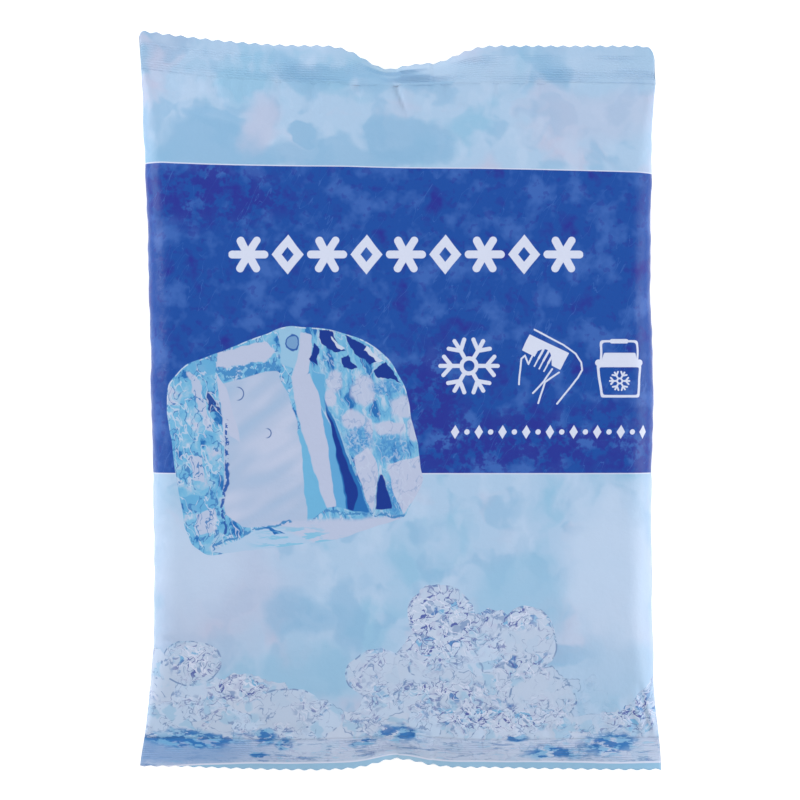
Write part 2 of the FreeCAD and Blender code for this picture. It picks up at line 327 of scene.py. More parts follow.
def film_heights(x, y):
    """Heights of the front and of the back film, with no wrinkles."""
    from_bottom, from_top = y - bottom_line(x), top_line(x) - y
    end = np.where(from_top < from_bottom, 1, -1)
    distance = np.minimum(from_bottom, from_top)
    side = 1 + 0.5 * across(x) ** 3
    lift = seal_lift(x, end)
    full = body_height(y) * (1 - crown * across(x) ** 3)
    front = lift + film_thickness + (full - lift - film_thickness) * filled(distance, front_rise * side)
    beside = np.maximum(np.maximum(fin_root - x, x - fin_edge), 0.0)
    rest = fin_thickness * (1 - even_s(beside / fin_margin))
    back = lift - film_thickness + (rest - lift + film_thickness) * filled(distance, back_fall * side)
    return front, np.maximum(back, rest)


def fold(x, y, one, other, width, depth):
    """A soft crease from one place to another: deepest midway, and raised a little along both flanks."""
    run = np.subtract(other, one)
    length = np.hypot(*run)
    along_it = ((x - one[0]) * run[0] + (y - one[1]) * run[1]) / length**2
    beside = ((y - one[1]) * run[0] - (x - one[0]) * run[1]) / length / width
    reach = np.clip(along_it, 0, 1) - along_it
    fade = np.exp(-(reach * length / width) ** 2) * (0.35 + 0.65 * np.sin(np.pi * np.clip(along_it, 0, 1)))
    return -depth * fade * (np.exp(-beside**2) - 0.45 * np.exp(-(beside / 2.2) ** 2))


def puckers(x, y, end):
    """Small valleys that run from a seal into the body, lean outwards, and open out until they are gone."""
    random = np.random.default_rng(PUCKER_SEEDS[end])
    distance = top_line(x) - y if end > 0 else y - bottom_line(x)
    total = 0.0
    for start in np.arange(-0.94, 0.95, 0.075):
        start = (start + random.uniform(-0.03, 0.03)) * half_film
        reach = random.uniform(7.0, 22.0)
        lean = -0.35 * start / half_film + random.uniform(-0.25, 0.25)
        depth = pucker_depth * random.uniform(0.25, 1.0)
        width = 1.1 + 0.13 * np.maximum(distance, 0)
        fade = even_s(1 - distance / reach) * even_s(distance / 2.5 + 0.3)
        total = total - depth * fade * np.exp(-(((x - start - lean * distance) / width) ** 2))
    return total


def wrinkles(x, y):
    """How far the front lies above or below its smooth form."""
    total = 0.28 * waves(x, y, 30.0, 5) + 0.09 * waves(x, y, 11.0, 6)
    total = total + puckers(x, y, 1) + puckers(x, y, -1)
    for one, other, width, depth in FOLDS:
        total = total + fold(x, y, one, other, width, depth)
    return total


def side_wobble(y, seed):
    """Small ins and outs of a side."""
    return 0.22 * waves(0 * y, y, 9.0, seed) + 0.12 * waves(0 * y, y, 4.0, seed + 1)


def pouch_surfaces(creased=1.0):
    """Front and back film as grids of places: rows from seal to seal, columns from side to side.

    Across a row the columns follow a quarter ellipse round each side, and are evenly spaced between them.
    """
    share = np.linspace(0.0, 1.0, ROWS)[:, None]
    left, right = left_x(row_y(share, -half_film)), right_x(row_y(share, half_film))
    ends = even_s(share / 0.06) * even_s((1 - share) / 0.06) * creased
    left = left + ends * side_wobble(row_y(share, -half_film), 31)
    right = right + ends * side_wobble(row_y(share, half_film), 41)
    front, back = film_heights(right, row_y(share, right))
    bend = corner_width + 0.45 * (front - back)
    turn = np.linspace(0.0, np.pi / 2, BEND_COLUMNS + 1)[None, :-1]
    middle = np.linspace(0.0, 1.0, MIDDLE_COLUMNS)[None, :]
    x = np.concatenate([left + bend * (1 - np.cos(turn)),
                        left + bend + (right - left - 2 * bend) * middle,
                        right - bend * (1 - np.cos(turn[:, ::-1]))], axis=1)
    y = row_y(share, x)
    front, back = film_heights(x, y)
    from_side = np.clip(np.minimum(x - left, right - x) / bend, 0, 1)
    round_off = np.sqrt(1 - (1 - from_side) ** 2)
    level = back + side_line * (front - back)
    front = np.maximum(front + creased * wrinkles(x, y) * even_s(from_side * 1.3), back + 2 * film_thickness)
    front = np.stack([x, y, level + (front - level) * round_off], axis=-1)
    back = np.stack([x, y, level + (back - level) * round_off], axis=-1)
    return front, back


top_line_v = 104.5            # how far up the film the top seal's inner line is
bottom_line_v = 111.0         # how far down the film the bottom seal's is
level_from = 62.0             # beyond this, the film's coordinate is evened out towards those lines


def film_places(front, back):
    """Film coordinates in millimetres: distances along the film from the middle of its front.

    They run on round both sides to the back seam, and meet each seal's inner line at one height.
    """
    def steps(grid, axis):
        """Distance run along the grid, row by row or column by column."""
        length = np.linalg.norm(np.diff(grid, axis=axis), axis=-1)
        first = np.zeros_like(np.take(length, [0], axis=axis))
        return np.cumsum(np.concatenate([first, length], axis=axis), axis=axis)

    middle_column = front.shape[1] // 2
    middle_row = int(np.argmin(np.abs(front[:, middle_column, 1])))
    places = []
    for grid in (front, back):
        across_film, along_film = steps(grid, 1), steps(grid, 0)
        u = across_film - across_film[:, [middle_column]] + grid[:, [middle_column], 0]
        v = along_film - along_film[[middle_row]] + grid[[middle_row], :, 1]
        places.append(np.stack([u, v], axis=-1))
    front_places, back_places = places
    for spots in places:
        for edge, goal, first in ((-1, top_line_v, level_from), (0, -bottom_line_v, -level_from)):
            share = even_s((spots[..., 1] - first) / (goal - first))
            spots[..., 1] += share * (goal - spots[[edge], :, 1])
    round_left = front_places[:, :1, 0] - (back_places[:, :, 0] - back_places[:, :1, 0])
    round_right = front_places[:, -1:, 0] + (back_places[:, -1:, 0] - back_places[:, :, 0])
    back_places[..., 0] = np.where(back[..., 0] < fin_root, round_left, round_right)
    return front_places, back_places


def film_piece(name, front, back, front_places, back_places):
    """A closed piece from a front and a back grid that meet along both sides. Strips close its two ends."""
    rows, columns = front.shape[:2]
    ring = np.concatenate([front, back[:, -2:0:-1]], axis=1)
    round_count = ring.shape[1]
    index = np.arange(rows * round_count).reshape(rows, round_count)
    following = np.roll(index, -1, axis=1)
    quads = np.stack([index[:-1], following[:-1], following[1:], index[1:]], axis=-1).reshape(-1, 4)

    ring_places = np.concatenate([front_places, back_places[:, ::-1]], axis=1)
    here = np.concatenate([ring_places[:, :columns - 1], ring_places[:, columns:-1]], axis=1)
    there = np.concatenate([ring_places[:, 1:columns], ring_places[:, columns + 1:]], axis=1)
    quad_places = np.stack([here[:-1], there[:-1], there[1:], here[1:]], axis=2).reshape(-1, 2)

    faces, places = quads.tolist(), [quad_places]
    for row, flip in ((0, False), (rows - 1, True)):
        top = index[row, :columns]
        low = np.concatenate([top[:1], index[row, columns:][::-1], top[-1:]])
        for k in range(columns - 1):
            strip = [top[k], low[k], low[k + 1], top[k + 1]]
            spots = front_places[row, [k, k, k + 1, k + 1]]
            kept = [n for n in range(4) if strip[n] != strip[n - 1]]
            strip, spots = [int(strip[n]) for n in kept], spots[kept]
            faces.append(strip[::-1] if flip else strip)
            places.append(spots[::-1] if flip else spots)

    mesh = bpy.data.meshes.new(name)
    mesh.from_pydata((ring.reshape(-1, 3) * METRE).tolist(), [], faces)
    layer = mesh.uv_layers.new(name="film")
    layer.data.foreach_set("uv", (np.concatenate(places) * METRE).ravel())
    mesh.shade_smooth()
    piece = bpy.data.objects.new(name, mesh)
    bpy.context.scene.collection.objects.link(piece)
    return piece


smooth_front, smooth_back = pouch_surfaces(0.0)
pouch_front_places, pouch_back_places = film_places(smooth_front, smooth_back)
pouch_front, pouch_back = pouch_surfaces()
pouch = film_piece("pouch", pouch_front, pouch_back, pouch_front_places, pouch_back_places)
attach(pouch, "root")
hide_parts("gel_pack")

# The crimped ends
# Beyond the gel, both films are welded between ridged jaws and cut off by a zigzag knife.
ridge_pitch = 0.87            # from one ridge to the next
ridge_depth = 0.14            # how far a ridge stands up where it is pressed hardest
plain_edge = 3.7              # strip without ridges along the teeth
overlap = 0.8                 # how far a seal reaches over the pouch's end
seam_step = 0.3               # how far the back seam lifts the front of a seal
seal_bow = 0.6                # how much flatter a seal starts than it ends
SEAL_COLUMNS = 345
RIDGE_ROWS = 6                # rows to each ridge


def tooth(x):
    """Rounded zigzag of the cut, from -1 to 1."""
    return 2 / np.pi * np.arcsin(0.93 * np.sin(2 * np.pi * x / tooth_pitch))


def seal_steps(end):
    """Distances from a seal's inner line that its rows follow, and the height of the ridges there."""
    height = top_seal_height if end > 0 else bottom_seal_height
    ridged = height - plain_edge
    count = int(ridged / ridge_pitch)
    first = ridged - count * ridge_pitch
    s = np.concatenate([np.linspace(-overlap, first, 4)[:-1],
                        np.linspace(first, ridged, count * RIDGE_ROWS + 1)[:-1],
                        np.linspace(ridged, height, 9)])[:, None]
    ripple = ridge_depth * np.sin(2 * np.pi * (s - first) / ridge_pitch)
    return s, np.where((s > first) & (s < ridged), ripple, 0.0)


def seal_sides(end, s):
    """X of both sides of a seal at these distances from its inner line."""
    height = top_seal_height if end > 0 else bottom_seal_height
    y = end * (half_length - 0.85 * np.clip(height - s, 0, None))
    return left_x(y), right_x(y)


def seal_middle(end, s, x, left, right):
    """Middle surface of a seal at these distances from its inner line: places, normals and the teeth's bite.

    A seal is as long as its film. Where its plan is shorter, it droops by the other side of that triangle.
    """
    height = top_seal_height if end > 0 else bottom_seal_height
    ridged = height - plain_edge
    line = top_line(x) if end > 0 else bottom_line(x)
    cut = top_cut(x) if end > 0 else bottom_cut(x)
    for radius, from_side in ((corner_round, right - x), (left_round, x - left)):
        corner = np.clip(1 - from_side / radius, 0, 1) if end > 0 else 0 * x
        cut = cut - radius * (1 - np.sqrt(1 - corner**2))
    plan = np.maximum(1.0, end * (cut - line))
    lift = seal_lift(x, end)
    droop = np.minimum(np.sqrt(np.maximum(0.0, height**2 - plan**2)), np.maximum(0.0, lift - edge_lift))
    slope = np.arctan2(droop, plan)
    bite = tooth_depth / 2 * tooth(x) * even_s((s - ridged) / plain_edge) / np.cos(slope)
    share = (s + bite) / height
    bow = np.clip(share, 0, 1)
    sag = droop * (share - seal_bow * np.sin(np.pi * bow) / np.pi) + 0.35 * np.clip(-s / overlap, 0, 1)
    flutter = 0.5 * bow**2 * (waves(x, 0 * x, 15.0, 50 + end) + 0.4 * waves(x, 0 * x, 6.0, 60 + end))
    flutter = flutter * even_s(1.6 * (1 - across(x)))
    middle = np.stack([x, line + end * plan * share, lift - sag + flutter], axis=-1)
    normal = np.stack([0 * x, end * np.sin(slope), np.cos(slope)], axis=-1)
    return middle, normal, bite


def over_seam(x, soft):
    """1 where the back seam lies under a seal, and 0 beside it."""
    return even_s((x - fin_root) / soft + 0.5) * even_s((fin_edge - x) / soft + 0.5)


def seal_surfaces(end):
    """Front and back of a seal: both films as one ridged strip, from the inner line to the teeth."""
    s, ripple = seal_steps(end)
    left, right = seal_sides(end, s)
    x = left + (right - left) * np.linspace(0.0, 1.0, SEAL_COLUMNS)[None, :]
    middle, normal, bite = seal_middle(end, s, x, left, right)
    pressed = over_seam(x, 0.8)
    strength = even_s(0.4 + 0.9 * waves(x, 4 * s, 14.0, 70 + end))
    strength = strength * (0.35 + 0.65 * even_s((x + 62.0) / 25.0))
    ripple = ripple * (0.15 + 1.1 * strength)
    side = np.clip(np.minimum(x - left, right - x) / corner_width, 0, 1)
    wall = film_thickness * np.sqrt(1 - (1 - side) ** 2)
    front = middle + normal * (ripple * (1 + 1.2 * pressed) + wall + seam_step * pressed)[..., None]
    back = middle + normal * (ripple - wall)[..., None]
    last = -1 if end > 0 else 0
    line_v = np.interp(x, pouch_front[last, :, 0], pouch_front_places[last, :, 1])
    u = np.interp(x, pouch_front[last, :, 0], pouch_front_places[last, :, 0])
    places = np.stack([u, line_v + end * (s + bite)], axis=-1)
    back_places = places.copy()
    back_places[..., 0] = np.where(x < fin_root, -film_width - u, film_width - u)
    if end < 0:
        return front[::-1], back[::-1], places[::-1], back_places[::-1]
    return front, back, places, back_places


top_seal = film_piece("top_end_seal", *seal_surfaces(1))
bottom_seal = film_piece("bottom_end_seal", *seal_surfaces(-1))
for seal in (top_seal, bottom_seal):
    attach(seal, "root")
    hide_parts("gel_pack")

# The back seam
# Down the middle of the back, the film's two edges are welded into a ribbed flap that is laid over to the
# right. It runs through both crimped ends, from cut to cut.
rib_pitch = 1.0
rib_depth = 0.08
SEAM_COLUMNS = 61


def seam_surfaces():
    """Top and underside of the flap: a strip against the back film, with ribs along its underside."""
    parts = []
    x_row = np.linspace(fin_root, fin_edge, SEAM_COLUMNS)[None, :]
    for end in (-1, 1):
        s, ripple = seal_steps(end)
        s, ripple = s[s[:, 0] > 0.3], ripple[s[:, 0] > 0.3]
        x = x_row + 0 * s
        middle, normal, bite = seal_middle(end, s, x, *seal_sides(end, s))
        film = middle + normal * (ripple - film_thickness)[..., None]
        parts.append((film[::end], (normal + 0 * film)[::end]))
    share = np.linspace(0.0, 1.0, ROWS)[:, None]
    x = x_row + 0 * share
    y = row_y(share, x)
    film = np.stack([x, y, film_heights(x, y)[1]], axis=-1)
    up = np.zeros_like(film)
    up[..., 2] = 1.0
    film = np.concatenate([parts[0][0], film, parts[1][0]])
    out = np.concatenate([parts[0][1], up, parts[1][1]])
    x = film[..., 0]
    side = np.clip(np.minimum(x - fin_root, fin_edge - x) / 0.5, 0, 1)
    rib = rib_depth * (0.5 + 0.5 * np.cos(2 * np.pi * (x - fin_root) / rib_pitch))
    depth = fin_thickness * np.sqrt(1 - (1 - side) ** 2) - rib * side
    front = film + out * 0.5 * film_thickness
    front = np.where((side <= 0)[..., None], film, front)
    return front, film - out * depth[..., None]


seam_front, seam_back = seam_surfaces()
seam_places = np.stack([film_width - seam_front[..., 0], seam_front[..., 1]], axis=-1)
back_seam = film_piece("back_seam", seam_front, seam_back, seam_places, seam_places)
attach(back_seam, "root")
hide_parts("gel_pack")

# The printed film
# One film makes the whole pack: clear plastic with ink behind it, so the print has one even gloss. All of
# the print is flat shapes in millimetres on the film, in ice colours, with a deep blue band across.


class Field:
    """A number, a place or a colour that changes over the film: one output of a material's nodes."""

    def __init__(self, socket):
        self.socket = socket

    def node(self, kind, inputs, operation=None, output=0):
        """A new node whose inputs, by name or number, are fields or plain values."""
        tree = self.socket.id_data
        made = tree.nodes.new(kind)
        if operation:
            made.operation = operation
        for key, value in inputs.items():
            if isinstance(value, Field):
                tree.links.new(value.socket, made.inputs[key])
            else:
                made.inputs[key].default_value = value
        return Field(made.outputs[output])

    # Arithmetic on fields: each of these is one node.
    def maths(self, operation, other=0.0, third=0.0):
        return self.node("ShaderNodeMath", {0: self, 1: other, 2: third}, operation)

    def place(self, operation, other=(0.0, 0.0, 0.0), third=(0.0, 0.0, 0.0), output=0):
        return self.node("ShaderNodeVectorMath", {0: self, 1: other, 2: third}, operation, output)

    def __add__(self, other):
        return self.maths("ADD", other)

    def __sub__(self, other):
        return self.maths("SUBTRACT", other)

    def __mul__(self, other):
        return self.maths("MULTIPLY", other)

    def __neg__(self):
        return self.maths("MULTIPLY", -1.0)

    def size(self):
        return self.maths("ABSOLUTE")

    def at_most(self, other):
        return self.maths("MINIMUM", other)

    def at_least(self, other):
        return self.maths("MAXIMUM", other)

    def parts(self):
        """The first two numbers of a place."""
        made = self.node("ShaderNodeSeparateXYZ", {0: self}).socket.node
        return Field(made.outputs["X"]), Field(made.outputs["Y"])

    def spread(self, low, high, to_low=0.0, to_high=1.0):
        """An even S from one value to another while the field goes from low to high, level beyond them."""
        made = self.socket.id_data.nodes.new("ShaderNodeMapRange")
        made.interpolation_type = "SMOOTHSTEP"
        self.socket.id_data.links.new(self.socket, made.inputs["Value"])
        for key, value in (("From Min", low), ("From Max", high), ("To Min", to_low), ("To Max", to_high)):
            made.inputs[key].default_value = value
        return Field(made.outputs["Result"])

    def inside(self, soft=0.15):
        """1 where a distance is below zero and 0 beyond, over an edge as soft as given."""
        return self.spread(-soft / 2, soft / 2, 1.0, 0.0)


def place_of(u, v):
    """The place with these two numbers, and 1 as its third, as every place here has."""
    return u.node("ShaderNodeCombineXYZ", {0: u, 1: v, 2: 1.0})


def cloudy(place, size, seed, detail=2.0, roughness=0.5, stretch=(1.0, 1.0), output="Fac"):
    """Soft noise from 0 to 1, with spots about as wide as the size, drawn out along either axis."""
    scale = (1 / (size * stretch[0]), 1 / (size * stretch[1]), 0.0)
    spot = place.place("MULTIPLY_ADD", scale, (seed * 7.31, seed * 3.17, 0.0))
    made = spot.socket.id_data.nodes.new("ShaderNodeTexNoise")
    made.noise_dimensions = "2D"
    made.inputs["Scale"].default_value = 1.0
    made.inputs["Detail"].default_value = detail
    made.inputs["Roughness"].default_value = roughness
    spot.socket.id_data.links.new(spot.socket, made.inputs["Vector"])
    return Field(made.outputs[output])


def bent(place, size, seed, reach, detail=1.0):
    """The place, pushed to and fro by noise over about half the reach."""
    push = cloudy(place, size, seed, detail, output="Color").place("SUBTRACT", (0.5, 0.5, 0.5))
    return push.place("MULTIPLY_ADD", (reach, reach, 0.0), place)


def turned(place, middle, angle, stretch=(1.0, 1.0)):
    """The place seen from a middle, along axes turned by an angle in degrees and drawn out along either."""
    axes = np.array([[np.cos(np.radians(angle)), np.sin(np.radians(angle))],
                     [-np.sin(np.radians(angle)), np.cos(np.radians(angle))]])
    axes = axes / np.reshape(stretch, (2, 1))
    numbers = [place.place("DOT_PRODUCT", (*axis, -axis @ middle), output="Value") for axis in axes]
    return place_of(*numbers)


def cells(place, size, seed, feature="F1", output="Distance", stretch=(1.0, 1.0)):
    """Cells about as wide as the size: the distance to their middle or edge, or a colour of their own."""
    scale = (1 / (size * stretch[0]), 1 / (size * stretch[1]), 0.0)
    spot = place.place("MULTIPLY_ADD", scale, (seed * 5.13, seed * 2.71, 0.0))
    made = spot.socket.id_data.nodes.new("ShaderNodeTexVoronoi")
    made.voronoi_dimensions = "2D"
    made.feature = feature
    made.inputs["Scale"].default_value = 1.0
    spot.socket.id_data.links.new(spot.socket, made.inputs["Vector"])
    return Field(made.outputs[output])


def ink(r, g, b):
    """A colour from its three screen values of 0 to 255, less the sheen that the film adds."""
    value = np.array([r, g, b]) / 255
    linear = np.where(value <= 0.04045, value / 12.92, ((value + 0.055) / 1.055) ** 2.4)
    return (*np.maximum(0.002, linear - sheen).tolist(), 1.0)


def paint(under, colour, cover):
    """The colour laid over what is under it, as far as the cover goes from 0 to 1."""
    tree = cover.socket.id_data
    made = tree.nodes.new("ShaderNodeMix")
    made.data_type = "RGBA"
    for key, value in ((0, cover), (6, under), (7, colour)):
        if isinstance(value, Field):
            tree.links.new(value.socket, made.inputs[key])
        else:
            made.inputs[key].default_value = value
    return Field(made.outputs[2])


def shades(field, stops):
    """A colour for each value of the field, changing evenly between the stops (value, ink)."""
    made = field.socket.id_data.nodes.new("ShaderNodeValToRGB")
    ramp = made.color_ramp
    while len(ramp.elements) < len(stops):
        ramp.elements.new(1.0)
    for element, (value, colour) in zip(ramp.elements, stops):
        element.position = value
        element.color = colour
    field.socket.id_data.links.new(field.socket, made.inputs[0])
    return Field(made.outputs[0])


def oval(place, middle, reach):
    """How far out from an oval's middle, as a share of its half widths: 1 on its edge."""
    shares = (1 / reach[0], 1 / reach[1], 0.0)
    spot = place.place("MULTIPLY_ADD", shares, (-middle[0] / reach[0], -middle[1] / reach[1], 0.0))
    return spot.place("LENGTH", output="Value")


def patch(place, middle, reach, soft=0.5):
    """1 in an oval and 0 outside it, over an edge that is a share of its half widths wide."""
    return oval(place, middle, reach).spread(1 - soft, 1 + soft, 1.0, 0.0)


def hairs(place, size, seed, width, kept):
    """1 on thin curved lines, where soft noise is at its middle value, over the share that is kept."""
    line = (cloudy(place, size, seed) - 0.5).size().spread(0.5 * width, width, 1.0, 0.0)
    return line * cloudy(place, 1.4 * size, seed + 40, 1.0).spread(0.55 - 0.3 * kept, 0.6 - 0.3 * kept)


def facet(place, corners, rounding=0.0):
    """Distance to a convex shape, below zero inside: that of its furthest side. Corners come in order."""
    corners = np.array(corners, float)
    middle = corners.mean(axis=0)
    furthest = None
    for one, other in zip(corners, np.roll(corners, -1, axis=0)):
        normal = np.array([other[1] - one[1], one[0] - other[0]]) / np.linalg.norm(other - one)
        if (middle - one) @ normal > 0:
            normal = -normal
        side = place.place("DOT_PRODUCT", (*normal, -normal @ one), output="Value")
        if furthest is None:
            furthest = side
        elif rounding:
            furthest = furthest.maths("SMOOTH_MAX", side, rounding)
        else:
            furthest = furthest.at_least(side)
    return furthest


def far_from(place, one, other):
    """Distance to a straight line from one place to another."""
    run = np.array([other[0] - one[0], other[1] - one[1], 0.0])
    spot = place.place("SUBTRACT", (*one, 1.0))
    share = spot.place("DOT_PRODUCT", tuple(run / (run @ run)), output="Value")
    share = share.node("ShaderNodeClamp", {0: share})
    foot = share.node("ShaderNodeVectorMath", {0: tuple(run), "Scale": share}, "SCALE")
    return spot.place("DISTANCE", foot, output="Value")


def stroke(place, points, width):
    """Distance to a line with round ends through several points."""
    nearest = far_from(place, points[0], points[1])
    for one, other in zip(points[1:], points[2:]):
        nearest = nearest.at_most(far_from(place, one, other))
    return nearest - width / 2


def crystal(place, middle, reach, width, ring, twigs=True):
    """Distance to a snow crystal: six arms on a ring, with a pair of twigs each if wanted."""
    spot = place.place("SUBTRACT", (*middle, 1.0))
    u, v = spot.parts()
    far = spot.place("LENGTH", output="Value")
    angle = v.maths("ARCTAN2", u).maths("PINGPONG", np.pi / 6)
    folded = place_of(far * angle.maths("COSINE"), far * angle.maths("SINE"))
    arm = stroke(folded, [(ring, 0.0), (reach - width / 2, 0.0)], width)
    if twigs:
        arm = arm.at_most(stroke(folded, [(0.57 * reach, 0.0), (0.82 * reach, 0.3 * reach)], width))
    return arm.at_most((far - ring).size() - width / 2)


sheen = 0.018                 # light that the gloss adds to every colour seen from above

PALE = ink(171, 199, 228)
LILAC = ink(184, 194, 221)
FROST = ink(189, 209, 235)
SKY = ink(139, 181, 216)
CYAN = ink(149, 191, 222)
BAND = ink(42, 82, 162)
BAND_DEEP = ink(50, 58, 147)
BAND_LIGHT = ink(66, 104, 180)
WHITE = ink(212, 219, 240)
LUMP = ink(186, 202, 226)
LUMP_LIGHT = ink(196, 208, 230)
TURQUOISE = ink(104, 170, 214)
AZURE = ink(50, 112, 180)
NAVY = ink(38, 62, 142)
SHADE = ink(122, 148, 190)

band_top = 75.5
band_bottom = -23.5
band_tilt = 0.0205            # fall of the band's top edge to the right of its turning point
band_turn = -16.0

film, tree = new_material("printed_film")
shader = tree.nodes.new("ShaderNodeBsdfPrincipled")
shader.inputs["Roughness"].default_value = 0.33
shader.inputs["Specular IOR Level"].default_value = 0.22
shader.inputs["Sheen Weight"].default_value = 0.5
shader.inputs["Sheen Roughness"].default_value = 0.3
output = tree.nodes.new("ShaderNodeOutputMaterial")
tree.links.new(shader.outputs[0], output.inputs["Surface"])
where = tree.nodes.new("ShaderNodeUVMap")
where.uv_map = "film"
flat = Field(where.outputs[0]).place("MULTIPLY_ADD", (1 / METRE, 1 / METRE, 0.0), (0.0, 0.0, 1.0))

# Ice clouds: pale blue with lilac and deeper blue fields, some with an edge and some fading out.
soft_place = bent(flat, 18.0, 1, 17.0, 3.0)
colour = shades(cloudy(soft_place, 26.0, 2, 3.0), [(0.3, CYAN), (0.45, PALE), (0.56, PALE), (0.72, LILAC)])
colour = paint(colour, SKY, cloudy(soft_place, 13.0, 3, 2.0).spread(0.52, 0.66, 0.0, 0.55))
colour = paint(colour, FROST, cloudy(flat, 9.0, 4, 3.0, stretch=(1.0, 1.6)).spread(0.5, 0.72, 0.0, 0.45))
# Each field has a middle, half widths, the softness of its edge, its ink and how far it covers.
CLOUDS = [((-62.0, 78.5), (22.0, 8.0), 0.25, SKY, 0.85), ((-59.0, 87.0), (9.0, 5.0), 0.15, SKY, 0.7),
          ((-22.0, 79.0), (27.0, 5.0), 0.3, SKY, 0.7), ((-29.5, 87.0), (5.0, 4.0), 0.15, SKY, 0.8),
          ((3.0, 84.0), (15.0, 9.0), 0.2, SKY, 0.75), ((4.0, 109.0), (11.0, 6.0), 0.25, SKY, 0.65),
          ((51.0, 110.0), (5.0, 7.0), 0.3, SKY, 0.8), ((-22.0, 110.0), (20.0, 3.5), 0.5, SKY, 0.7),
          ((-45.0, 90.0), (6.0, 10.0), 0.5, LILAC, 0.8), ((64.0, 94.0), (20.0, 10.0), 0.4, LILAC, 0.5),
          ((-58.0, -60.0), (24.0, 20.0), 0.5, LILAC, 0.7), ((-34.0, -69.0), (13.0, 9.0), 0.25, SKY, 0.6),
          ((-17.5, -70.0), (5.0, 12.0), 0.2, SKY, 0.6), ((-28.0, -88.0), (18.0, 8.0), 0.4, CYAN, 0.8),
          ((38.0, -64.0), (17.0, 14.0), 0.3, CYAN, 0.7), ((53.0, -82.0), (7.0, 6.0), 0.15, SKY, 0.7),
          ((-67.0, -52.0), (15.0, 15.0), 0.5, FROST, 0.7), ((70.0, -58.0), (16.0, 26.0), 0.4, FROST, 0.9),
          ((72.0, -86.0), (14.0, 10.0), 0.4, PALE, 0.8), ((72.0, 111.0), (17.0, 9.0), 0.4, PALE, 0.8),
          ((26.0, 110.0), (14.0, 6.0), 0.4, PALE, 0.6)]
for middle, reach, soft, shade, cover in CLOUDS:
    colour = paint(colour, shade, patch(soft_place, middle, reach, soft) * cover)

# Crushed ice along the foot: cells whose middle lies below a profile, and a few round lumps. Dark hair
# lines run between and over them, and where the ice is finer it has turquoise and blue splinters.
HEAP_TOP = [(-175, -92), (-130, -86), (-100, -94), (-84, -86), (-70, -80), (-60, -84), (-48, -90),
            (-34, -98), (-20, -97), (-8, -86), (3, -70), (12, -64), (22, -68), (30, -71), (38, -68),
            (46, -72), (51, -86), (58, -97), (68, -97), (80, -92), (100, -84), (130, -95), (175, -92)]
ROUND_LUMPS = [((-67.0, -83.5), (10.0, 7.4)), ((-36.0, -100.0), (11.0, 8.0)), ((-7.0, -88.0), (10.5, 8.5)),
               ((40.5, -76.5), (9.6, 10.8)), ((13.0, -69.0), (11.0, 10.0)), ((46.0, -96.0), (11.5, 8.5))]
FINE_ICE = [((12.0, -72.0), (14.0, 13.0)), ((34.0, -69.0), (11.0, 4.0)), ((38.0, -85.0), (7.0, 4.0)),
            ((30.0, -103.0), (22.0, 4.5)), ((-66.0, -83.0), (7.0, 6.0)), ((-52.0, -92.0), (9.0, 4.5)),
            ((76.0, -101.0), (10.0, 7.0)), ((14.0, -94.0), (14.0, 3.5))]
lump_size = 12.0
lump_seed = 6
heap_place = bent(flat, 6.0, 5, 5.0, 2.0)
lump = cells(heap_place, lump_size, lump_seed, output="Position")
lump = lump.place("MULTIPLY_ADD", (lump_size, lump_size, 0.0),
                  (-lump_size * lump_seed * 5.13, -lump_size * lump_seed * 2.71, 0.0))
lump_u, lump_v = lump.parts()
share = lump_u.maths("MULTIPLY_ADD", 1 / 350, 0.5)
profile = share.node("ShaderNodeFloatCurve", {"Value": share}).socket.node
points = profile.mapping.curves[0].points
while len(points) < len(HEAP_TOP):
    points.new(0.5, 0.5)
for point, (u, v) in zip(points, HEAP_TOP):
    point.location = (u / 350 + 0.5, (v + 125) / 125)
profile.mapping.update()
top_there = Field(profile.outputs[0]).maths("MULTIPLY_ADD", 125.0, -125.0)
heap = (lump_v - top_there).inside(0.5)
lump_shade = cells(heap_place, lump_size, lump_seed, output="Color").parts()[0]
ice = shades(lump_shade, [(0.1, LUMP), (0.5, FROST), (0.6, LUMP_LIGHT), (0.9, LUMP)])
ice = paint(ice, CYAN, cloudy(heap_place, 6.0, 31, 2.0).spread(0.54, 0.62, 0.0, 0.6))
ice = paint(ice, PALE, patch(flat, (72.0, -90.0), (20.0, 16.0), 0.5) * 0.8)
crack = cells(heap_place, lump_size, lump_seed, "DISTANCE_TO_EDGE").spread(0.008, 0.03, 1.0, 0.0)
broken = cloudy(flat, 3.0, 9, 3.0).spread(0.48, 0.56)
ice = paint(ice, SHADE, crack * broken * 0.8)
round_place = bent(flat, 9.0, 32, 2.4, 2.0)
for middle, reach in ROUND_LUMPS:
    out = oval(round_place, middle, reach)
    ice = paint(ice, LUMP, out.spread(0.85, 1.0, 0.75, 0.0))
    ice = paint(ice, SHADE, (out - 0.97).size().spread(0.015, 0.05, 1.0, 0.0) * broken)
    heap = heap.at_least(out.spread(0.98, 1.0, 1.0, 0.0))
fine = cloudy(flat, 13.0, 7, 2.0).spread(0.52, 0.6, 0.0, 0.6)
for middle, reach in FINE_ICE:
    fine = fine.at_least(patch(round_place, middle, reach, 0.4))
splinter = cells(heap_place, 2.3, 8, output="Color", stretch=(1.2, 0.8)).parts()[0]
splinters = shades(splinter, [(0.05, AZURE), (0.08, TURQUOISE), (0.2, TURQUOISE), (0.22, LUMP),
                              (0.5, LUMP_LIGHT), (0.66, LUMP), (0.72, SHADE), (0.82, SHADE), (0.84, LILAC)])
ice = paint(ice, splinters, fine * cloudy(flat, 2.5, 33, 2.0).spread(0.4, 0.56) * 0.8)
ice = paint(ice, SHADE, hairs(heap_place, 4.5, 10, 0.014, 0.35) * 0.8)
rising = turned(heap_place, (0.0, 0.0), 35.0, (2.0, 1.0))
